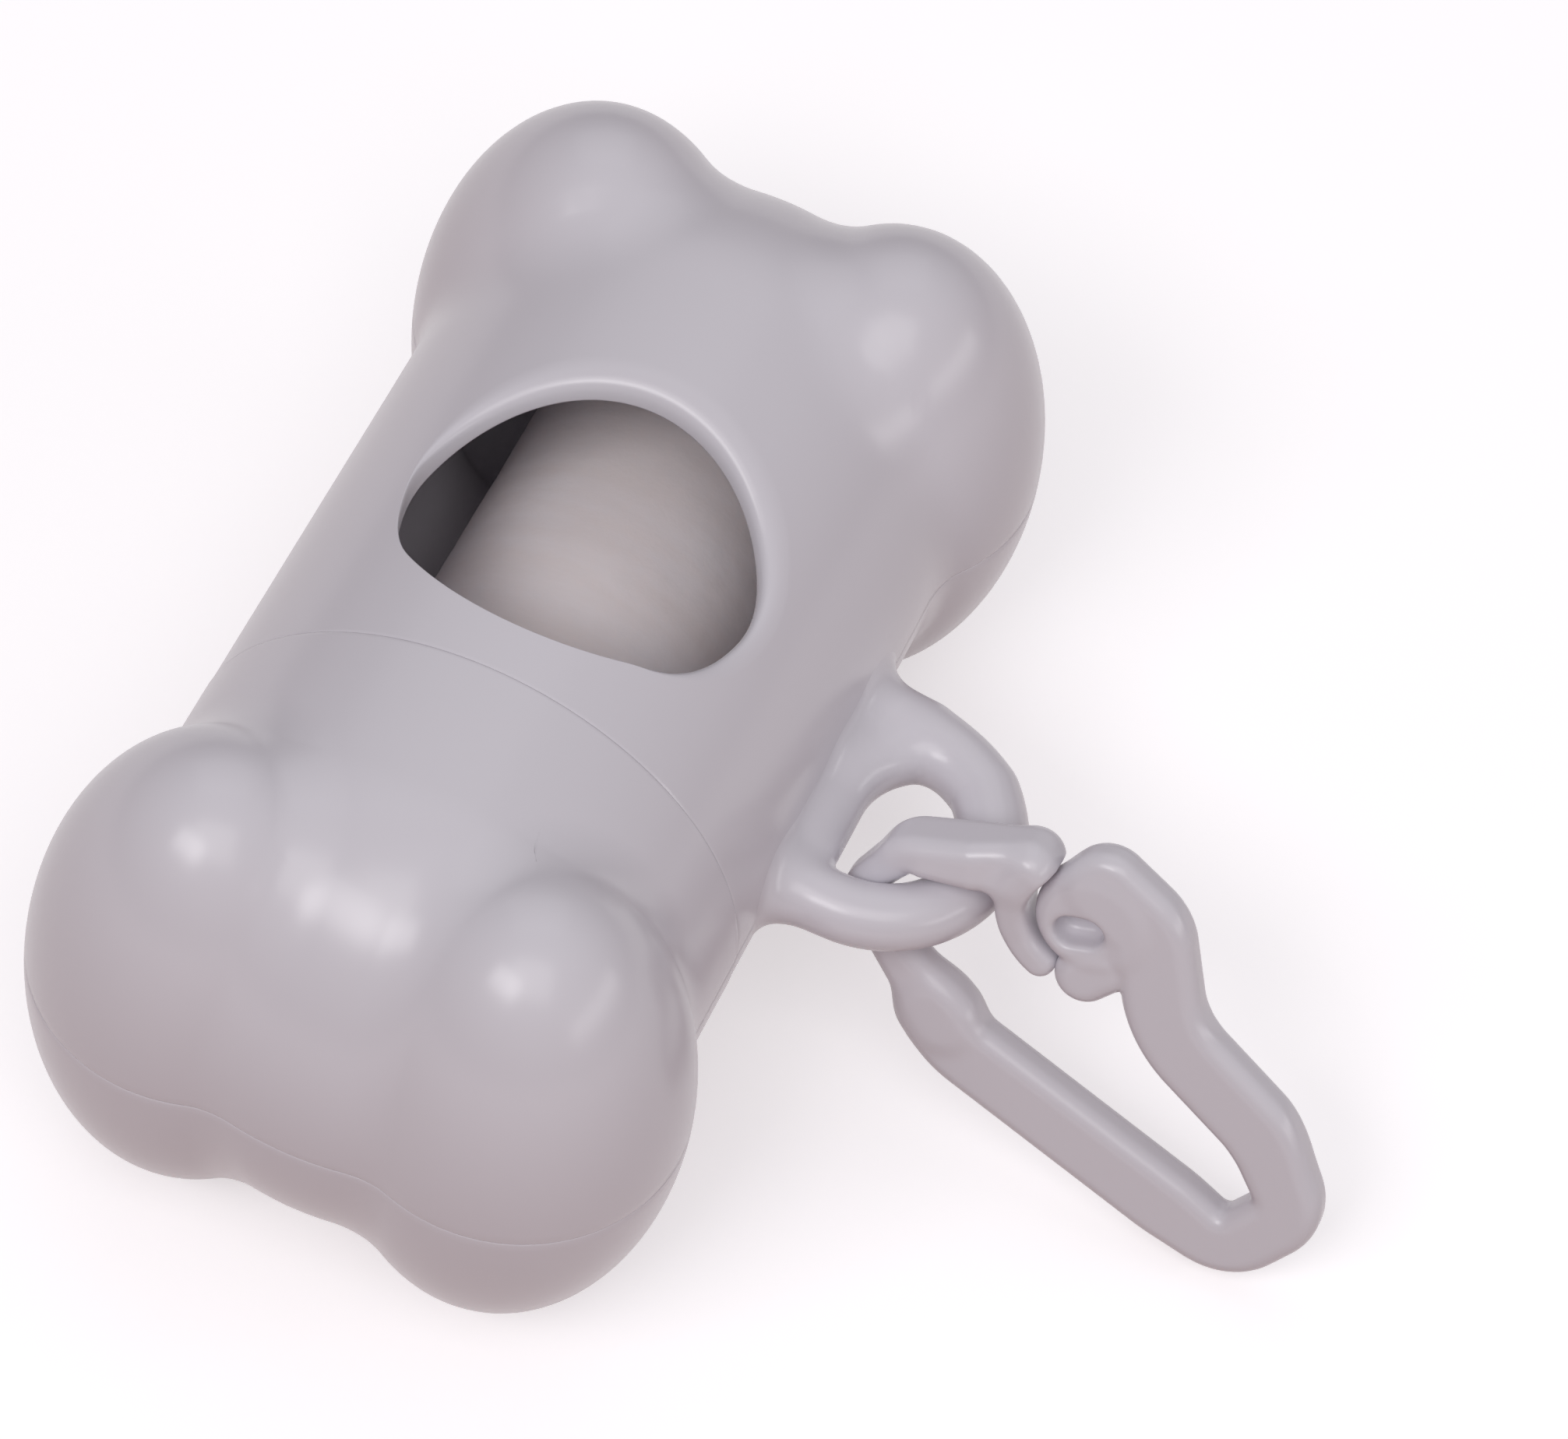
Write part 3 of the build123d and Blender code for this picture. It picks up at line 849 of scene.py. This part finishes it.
def tone_patches(name):
    """Two tones mixed by soft patches, as in thick moulded plastic."""
    group, given, out = new_group(name, {
        "Main Tone": (0.5, 0.5, 0.5, 1), "Second Tone": (0.4, 0.4, 0.4, 1), "Scale": 60.0, "Amount": 0.5,
    }, "Colour", "NodeSocketColor")
    patches = spread(group, noise(group, object_place(group), given["Scale"], 3.0), 0.35, 0.7)
    share = calculated(group, "MULTIPLY", patches, given["Amount"])
    group.links.new(mixed_colour(group, share, given["Main Tone"], given["Second Tone"]), out)
    return group


def handling_marks(name):
    """Roughness that varies with faint scuffs and finger polish."""
    group, given, out = new_group(
        name, {"Roughness": 0.3, "Variation": 0.08, "Scuff Scale": 220.0}, "Roughness")
    place = object_place(group)
    stretched = add_node(group, "ShaderNodeMapping", inputs={
        "Vector": place, "Rotation": (0.3, 0.5, 0.9), "Scale": (1.0, 0.16, 1.0)}).outputs[0]
    scuffs = spread(group, noise(group, stretched, given["Scuff Scale"], 5.0, 0.65), 0.56, 0.74)
    both = calculated(group, "MULTIPLY_ADD", noise(group, place, 45.0, 2.0), 0.6, scuffs)
    group.links.new(calculated(group, "MULTIPLY_ADD", both, given["Variation"], given["Roughness"]), out)
    return group


def surface_grain(name):
    """Height of a fine moulded skin: shallow waves with a finer grain on them."""
    group, given, out = new_group(
        name, {"Wave Scale": 150.0, "Grain Scale": 1800.0, "Grain Share": 0.3}, "Height")
    place = object_place(group)
    wave = noise(group, place, given["Wave Scale"], 1.0)
    grain = noise(group, place, given["Grain Scale"], 2.0)
    mixed = add_node(group, "ShaderNodeMix", {"data_type": "FLOAT"}, {
        0: given["Grain Share"], 2: wave, 3: grain})
    group.links.new(mixed.outputs[0], out)
    return group


def fibre_bands(name):
    """Mask of thin streaks along one direction, for card fibres and folded film."""
    group, given, out = new_group(
        name, {"Scale": 400.0, "Stretch": (1.0, 0.1, 1.0), "Contrast": 0.5}, "Mask")
    stretched = add_node(group, "ShaderNodeVectorMath", {"operation": "MULTIPLY"}, {
        0: object_place(group), 1: given["Stretch"]}).outputs[0]
    streaks = noise(group, stretched, given["Scale"], 4.0, 0.6)
    group.links.new(spread(group, streaks, 0.4, 0.65, given["Contrast"]), out)
    return group


def use_group(tree, maker, *values):
    """The output of a shared group, built on first use, with values in the order of its inputs."""
    group = bpy.data.node_groups.get(maker.__name__) or maker(maker.__name__)
    return add_node(tree, "ShaderNodeGroup", {"node_tree": group}, dict(enumerate(values))).outputs[0]


def cleared_tree(owner):
    """The emptied node tree of a material or world."""
    owner.use_nodes = True
    owner.node_tree.nodes.clear()
    return owner.node_tree


def scattering(weight, radius, scale):
    """Shader inputs for light that scatters under the surface."""
    return {"Subsurface Weight": weight, "Subsurface Radius": radius, "Subsurface Scale": scale}


def new_material(name, tone, marks, grain, bump, more_inputs):
    """A material from a function that makes its colour, and values for its marks, grain and bump."""
    material = bpy.data.materials.new(name)
    tree = cleared_tree(material)
    relief = add_node(tree, "ShaderNodeBump", inputs={
        "Height": use_group(tree, surface_grain, *grain), "Strength": bump[0], "Distance": bump[1]})
    shader = add_node(tree, "ShaderNodeBsdfPrincipled", inputs={
        "Base Color": tone(tree), "Roughness": use_group(tree, handling_marks, *marks),
        "Normal": relief.outputs["Normal"], **more_inputs})
    add_node(tree, "ShaderNodeOutputMaterial", inputs={"Surface": shader.outputs[0]})
    return material


def moulded_plastic(name, main, second, roughness, wave):
    """Glossy moulded plastic with soft tone patches, faint scuffs and a shallow skin."""
    def tone(tree):
        return use_group(tree, tone_patches, tint(main), tint(second), 42.0, 0.55)

    return bpy.data.materials.get(name) or new_material(
        name, tone, (roughness, 0.07, 260.0), (wave, 2200.0, 0.16), (0.35, 0.00018),
        {"IOR": 1.49, **scattering(0.5, (1.0, 0.85, 0.75), 0.001)})


def shell_plastic():
    """Material of the shells, neck and ring."""
    return moulded_plastic("shell_plastic", "shell", "shell_warm", 0.12, 150.0)


def bag_film():
    """Thin wound film: pale, softly shining, with folded bands and crinkles."""
    def tone(tree):
        main, shade = tint("film"), tint("film_shade")
        bands = use_group(tree, fibre_bands, 260.0, (0.16, 1.0, 0.16), 0.5)
        return mixed_colour(tree, bands, use_group(tree, tone_patches, main, shade, 90.0, 0.5), shade)

    return new_material(
        "bag_film", tone, (0.38, 0.12, 400.0), (420.0, 1500.0, 0.35), (0.25, 0.0003),
        scattering(0.6, (1.0, 0.9, 0.85), 0.005))


def core_card():
    """Plain card with short fibres."""
    def tone(tree):
        fibres = use_group(tree, fibre_bands, 700.0, (1.0, 0.25, 1.0), 0.9)
        return mixed_colour(tree, fibres, tint("card"), tint("card_fibre"))

    return new_material("core_card", tone, (0.78, 0.1, 500.0), (900.0, 2600.0, 0.5), (0.7, 0.0003), {})


def dress(piece, material, body, slot, *replaced):
    """Gives a piece its material and body, and hides the nodes it stands for; its slot is not used."""
    piece.data.materials.clear()
    piece.data.materials.append(material)
    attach(piece, body)
    if replaced:
        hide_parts(*replaced)


# ---- operators ----

class DISPENSER_OT_half_shells(bpy.types.Operator):
    """Builds the two halves of the body and the two halves of the cap"""

    bl_idname = "dispenser.half_shells"
    bl_label = "Half Shells"

    def execute(self, context):
        plastic = shell_plastic()
        body_r, cap_r = mm("shaft_radius"), mm("skirt_radius")
        jobs = (
            ("body_front", body_r, SEAM_Y, WINDOW_MIDDLE, True, (1, 1, 1)),
            ("body_back", body_r, SEAM_Y, (0, 6), False, (1, 1, -1)),
            ("cap_front", cap_r, -SEAM_Y, (0, 27), False, (1, -1, 1)),
            ("cap_back", cap_r, -SEAM_Y, (0, 27), False, (1, -1, -1)),
        )
        for name, *job in jobs:
            body, _ = name.split("_")
            dress(half_shell(name, *job), plastic, body, "shell_plastic", name + "_shell")
        return {"FINISHED"}


class DISPENSER_OT_side_ring(bpy.types.Operator):
    """Builds the ring on the body's side, with its roots flowing into the shell"""

    bl_idname = "dispenser.side_ring"
    bl_label = "Side Ring"

    def execute(self, context):
        ring = soft_solid("side_ring", ring_field, *RING_BOX, bone_to_metres)
        dress(ring, shell_plastic(), "body", "shell_plastic")
        return {"FINISHED"}


class DISPENSER_OT_neck_and_collar(bpy.types.Operator):
    """Builds the body's threaded neck and the cap's threaded collar"""

    bl_idname = "dispenser.neck_and_collar"
    bl_label = "Neck and Collar"

    def execute(self, context):
        depth = mm("thread_depth")
        plastic = shell_plastic()
        root = NECK_R - depth
        low, high = SEAM_Y - 7.2, SEAM_Y - 0.3
        locked = softened(at_seam(
            (2.5, NECK_BORE), (2.5, 18.95), (1.3, 18.95), (1.3, 19.95), (0.5, 19.95), (0.5, 18.95),
            (0, 18.95)))
        free_end = at_seam(
            (-7.5, root), (-8.0, root - 0.5), (-8.0, 17.0), (-7.6, 16.62), (-7.4, NECK_BORE),
            (2.35, NECK_BORE))
        thread = threaded_rows(high, low, root, depth)
        piece = turned_piece(
            "neck", [*locked[1:], *at_seam((-0.05, root)), *thread, *free_end],
            lambda turns, y: thread_height(turns, y, low, high))
        dress(piece, plastic, "body", "shell_plastic", "neck_ring")

        seat = mm("skirt_radius") - mm("wall") - 0.05
        sleeve = at_seam(
            (-0.4, 18.4), (-0.4, seat - 0.15), (-0.52, seat), (-4.4, seat), (-4.4, 20.45), (-5.2, 20.45),
            (-5.2, seat), (-8.7, seat), (-8.8, seat - 0.1), (-8.8, 18.45), (-8.7, 18.3))
        bore = threaded_rows(SEAM_Y - 8.5, SEAM_Y - 0.6, COLLAR_BORE, depth)
        piece = turned_piece(
            "collar", [*sleeve, *bore],
            lambda turns, y: thread_height(turns, y + 0.1, SEAM_Y - 8.4, SEAM_Y - 0.7))
        dress(piece, plastic, "cap", "shell_plastic", "cap_collar")
        return {"FINISHED"}


class DISPENSER_OT_bag_roll(bpy.types.Operator):
    """Builds the wound film and finishes the card core"""

    bl_idname = "dispenser.bag_roll"
    bl_label = "Bag Roll"

    def execute(self, context):
        dress(film_roll(), bag_film(), "roll", "bag_film", "bag_roll")
        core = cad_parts["roll_core"]
        card = core_card()
        for slot in core.material_slots:
            slot.material = card
        return {"FINISHED"}


class DISPENSER_OT_snap_clip(bpy.types.Operator):
    """Builds the snap clip: frame, springy gate, and the elbow between them"""

    bl_idname = "dispenser.snap_clip"
    bl_label = "Snap Clip"

    def execute(self, context):
        plastic = moulded_plastic("clip_plastic", "clip", "clip_warm", 0.33, 260.0)
        room = mm("clip_thickness") / 2 + NET_MARGIN
        start, end = clip_spot(*FLEX_START), clip_spot(*FLEX_END)
        way = (end - start).normalized()
        jobs = (
            ("clip", frame_field, (-7.9, -13.0, -room), (39.0, 13.0, room + 1.6), (start, way),
             "clip_frame"),
            ("gate", gate_field, (2.8, -7.5, -room), (39.0, 14.2, room), (end, -way), "clip_gate"),
        )
        for name, field, low, high, side, node in jobs:
            piece = soft_solid(name, field, low, high, clip_to_metres, [side])
            dress(piece, plastic, name, "clip_plastic", node)
        elbow = soft_solid(
            "clip_elbow", flex_field, (29.5, -9.2, -room), (38.6, 5.0, room), clip_to_metres,
            [(start, -way), (end, way)])
        elbow.data.materials.append(plastic)
        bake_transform(elbow)
        return {"FINISHED"}


FLOOR_REACH = 3.0
FLOOR_GLOW, CAMERA_WHITE = (1.0, 0.985, 1.0, 1), (0.985, 0.97, 0.985, 1)
ROOM_TINT, ROOM_STRENGTH = (0.97, 0.90, 0.95, 1), 0.24
LAMP_TARGET = (0, 0, 0.02)
LAMPS = (                # name, place, width, height, power, tint
    ("front_lamp", (-0.22, -0.585, 0.70), 0.46, 0.26, 1.9, (1.0, 0.985, 1.0)),
    ("camera_side_lamp", (0.13, -0.55, 0.97), 0.80, 0.60, 2.9, (1.0, 0.985, 0.99)),
    ("top_lamp", (-0.25, 0.55, 0.85), 0.9, 0.9, 1.0, (0.98, 0.98, 1.0)),
    ("right_lamp", (0.76, -0.05, 0.33), 0.90, 0.14, 1.1, (1.0, 0.985, 0.99)),
)
CAMERA_PLACE = (0.07190, -0.29537, 0.44835)
CAMERA_LENS, CAMERA_SENSOR = 169.43, 36.0
VIEW_RIGHT = Vector((0.90526, 0.41486, 0.09159))
VIEW_UP = Vector((-0.38721, 0.71693, 0.57972))
VIEW_AHEAD = Vector((-0.17483, 0.56027, -0.80965))
TURN_RIGHT, TURN_UP = 0.03184, -0.003378     # small turn that brings the object to its place in the frame


def mixed_shader(tree, share, first, second):
    """Two shaders mixed by a share."""
    return add_node(tree, "ShaderNodeMixShader", inputs={0: share, 1: first, 2: second}).outputs[0]


def emitting(tree, kind, shade, strength):
    """The output of an emission or background node."""
    return add_node(tree, kind, inputs={"Color": shade, "Strength": strength}).outputs[0]


def floor_material():
    """Pale floor that camera and mirror-like surfaces see as nearly white, shadows kept."""
    material = bpy.data.materials.new("floor_sheet")
    tree = cleared_tree(material)
    pale = tint("floor")
    tone = use_group(tree, tone_patches, pale, pale, 3.0, 0.1)
    matte = add_node(tree, "ShaderNodeBsdfDiffuse", inputs={"Color": tone})
    warm = add_node(tree, "ShaderNodeBsdfDiffuse", inputs={"Color": tint("floor_bounce")})
    path = tree.nodes.new("ShaderNodeLightPath").outputs
    seen = calculated(tree, "MAXIMUM", path["Is Camera Ray"], path["Is Glossy Ray"])
    glow = emitting(tree, "ShaderNodeEmission", FLOOR_GLOW, 0.50)
    dark = emitting(tree, "ShaderNodeEmission", (0, 0, 0, 1), 0.0)
    ground = mixed_shader(tree, seen, warm.outputs[0], matte.outputs[0])
    light = mixed_shader(tree, seen, dark, glow)
    total = add_node(tree, "ShaderNodeAddShader", inputs={0: ground, 1: light})
    add_node(tree, "ShaderNodeOutputMaterial", inputs={"Surface": total.outputs[0]})
    return material


def add_softbox(name, place, size_x, size_y, power, shade):
    """A rectangular lamp aimed at the object."""
    data = bpy.data.lights.new(name, "AREA")
    data.shape = "RECTANGLE"
    data.size, data.size_y = size_x, size_y
    data.energy, data.color = power, shade
    lamp = new_object(name, data)
    lamp.location = place
    lamp.rotation_euler = (Vector(LAMP_TARGET) - lamp.location).to_track_quat("-Z", "Y").to_euler()


class DISPENSER_OT_stage(bpy.types.Operator):
    """Builds the floor, the soft lamps, the pale surroundings and the camera"""

    bl_idname = "dispenser.stage"
    bl_label = "Stage"

    def execute(self, context):
        scene = context.scene
        mesh = bpy.data.meshes.new("floor")
        corners = [(x * FLOOR_REACH, y * FLOOR_REACH, 0) for x, y in ((-1, -1), (1, -1), (1, 1), (-1, 1))]
        mesh.from_pydata(corners, [], [(0, 1, 2, 3)])
        floor = new_object("floor", mesh)
        floor.data.materials.append(floor_material())

        scene.world = bpy.data.worlds.new("pale_room")
        tree = cleared_tree(scene.world)
        seen = tree.nodes.new("ShaderNodeLightPath").outputs["Is Camera Ray"]
        plain = emitting(tree, "ShaderNodeBackground", ROOM_TINT, ROOM_STRENGTH)
        white = emitting(tree, "ShaderNodeBackground", CAMERA_WHITE, 1.0)
        add_node(tree, "ShaderNodeOutputWorld", inputs={"Surface": mixed_shader(tree, seen, plain, white)})

        for lamp in LAMPS:
            add_softbox(*lamp)

        ahead = (VIEW_AHEAD + TURN_RIGHT * VIEW_RIGHT + TURN_UP * VIEW_UP).normalized()
        right = (VIEW_RIGHT - ahead * VIEW_RIGHT.dot(ahead)).normalized()
        data = bpy.data.cameras.new("camera")
        data.lens, data.sensor_width = CAMERA_LENS, CAMERA_SENSOR
        data.clip_start, data.clip_end = 0.01, 50.0
        camera = new_object("camera", data)
        turn = Matrix((right, right.cross(ahead), -ahead)).transposed().to_4x4()
        camera.matrix_world = Matrix.Translation(CAMERA_PLACE) @ turn
        scene.camera = camera
        scene.view_settings.view_transform = "Standard"
        return {"FINISHED"}


class DISPENSER_PT_builder(bpy.types.Panel):
    """Lists the build steps and the settings"""

    bl_idname = "DISPENSER_PT_builder"
    bl_label = "Bag Dispenser"
    bl_space_type = "VIEW_3D"
    bl_region_type = "UI"
    bl_category = "Dispenser"

    def draw(self, context):
        for step in BUILD_STEPS:
            self.layout.operator(step.bl_idname)
        for group in (context.scene.dispenser_sizes, context.scene.dispenser_colours):
            box = self.layout.box()
            for name in group.__annotations__:
                box.prop(group, name)


BUILD_STEPS = (DISPENSER_OT_half_shells, DISPENSER_OT_side_ring, DISPENSER_OT_neck_and_collar,
               DISPENSER_OT_bag_roll, DISPENSER_OT_snap_clip, DISPENSER_OT_stage)
CLASSES = (DispenserSizes, DispenserColours, *BUILD_STEPS, DISPENSER_PT_builder)


def register():
    """Registers the classes and the scene settings."""
    for item in CLASSES:
        bpy.utils.register_class(item)
    bpy.types.Scene.dispenser_sizes = PointerProperty(type=DispenserSizes)
    bpy.types.Scene.dispenser_colours = PointerProperty(type=DispenserColours)


def unregister():
    """Takes the settings and the classes away again."""
    del bpy.types.Scene.dispenser_colours
    del bpy.types.Scene.dispenser_sizes
    for item in reversed(CLASSES):
        bpy.utils.unregister_class(item)


def main():
    register()
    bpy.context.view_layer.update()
    for step in BUILD_STEPS:
        family, name = step.bl_idname.split(".")
        getattr(getattr(bpy.ops, family), name)()
    bpy.context.view_layer.update()


if __name__ == "__main__":
    main()
